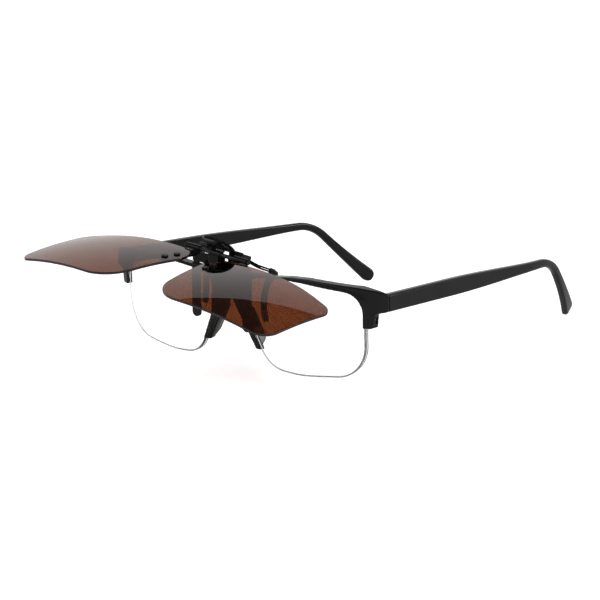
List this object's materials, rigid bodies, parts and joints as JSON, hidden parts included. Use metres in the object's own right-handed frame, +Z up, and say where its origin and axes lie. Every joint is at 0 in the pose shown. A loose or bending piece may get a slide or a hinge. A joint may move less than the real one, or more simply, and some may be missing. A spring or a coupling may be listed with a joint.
{
  "type": "half-rim spectacles with a flip-up clip-on",
  "caption": "Black half-rim spectacles with clear lenses and a sprung clip-on whose brown tinted lenses flip up in front of them.",
  "frame": {"origin": "on the table that the lens bottoms and temple tips stand on, on the plane of symmetry, under the middle surface of the spectacle lenses", "axes": "+X to the viewer's right when facing the front, +Y back along the temples, +Z up"},
  "size_m": [0.1406, 0.1886, 0.0498],
  "materials": {
    "frame_black": "polished black",
    "lens_clear": "clear polished plastic lens",
    "cord_nylon": "clear nylon",
    "hinge_steel": "plain",
    "clip_black": "semi-gloss black",
    "rivet_grey": "dark nickel",
    "pin_grey": "glossy dark nickel",
    "spring_steel": "bright wire",
    "sleeve_rubber": "smooth black",
    "tint_brown": "brown polarised tint"
  },
  "bodies": {
    "spectacles": {"front_frame": "frame_black", "lens_right": "lens_clear", "lens_left": "lens_clear", "nylon_cord_right": "cord_nylon", "nylon_cord_left": "cord_nylon", "front_hinge_right": "hinge_steel", "front_hinge_left": "hinge_steel", "hinge_screw_right": "hinge_steel", "hinge_screw_left": "hinge_steel", "lower_lever": "clip_black", "front_sleeve_right": "sleeve_rubber", "front_sleeve_left": "sleeve_rubber", "flip_housing": "clip_black", "flip_pin": "pin_grey", "pivot_pin_right": "pin_grey", "pivot_pin_left": "pin_grey", "clamp_spring": "spring_steel"},
    "temple_right": {"temple_right": "frame_black", "temple_hinge_right": "hinge_steel"},
    "temple_left": {"temple_left": "frame_black", "temple_hinge_left": "hinge_steel"},
    "clip_lenses": {"clip_lens_right": "tint_brown", "clip_lens_left": "tint_brown", "lens_bracket_right": "clip_black", "lens_bracket_left": "clip_black", "lens_rivets_right": "rivet_grey", "lens_rivets_left": "rivet_grey"},
    "clamp_jaw": {"upper_lever": "clip_black", "rear_prong_right": "clip_black", "rear_prong_left": "clip_black", "rear_sleeve_right": "sleeve_rubber", "rear_sleeve_left": "sleeve_rubber"}
  },
  "joints": [
    {"name": "temple_right_fold", "type": "hinge", "parent": "spectacles", "child": "temple_right", "pos_m": [0.0653, 0.0094, 0.03076], "axis": [0, 0, 1], "range_deg": [0, 84]},
    {"name": "temple_left_fold", "type": "hinge", "parent": "spectacles", "child": "temple_left", "pos_m": [-0.0653, 0.0094, 0.03076], "axis": [0, 0, -1], "range_deg": [0, 73]},
    {"name": "lenses_flip", "type": "hinge", "parent": "spectacles", "child": "clip_lenses", "pos_m": [-0.0004, -0.00643, 0.04236], "axis": [0.9951, 0.0201, -0.0972], "range_deg": [0, 85]},
    {"name": "clamp_pinch", "type": "hinge", "parent": "spectacles", "child": "clamp_jaw", "pos_m": [-0.00045, -0.00243, 0.04265], "axis": [0.9951, 0.0201, -0.0972], "range_deg": [0, 18], "stiffness_Nm_per_rad": 0.04, "springref_deg": -17.19}
  ]
}
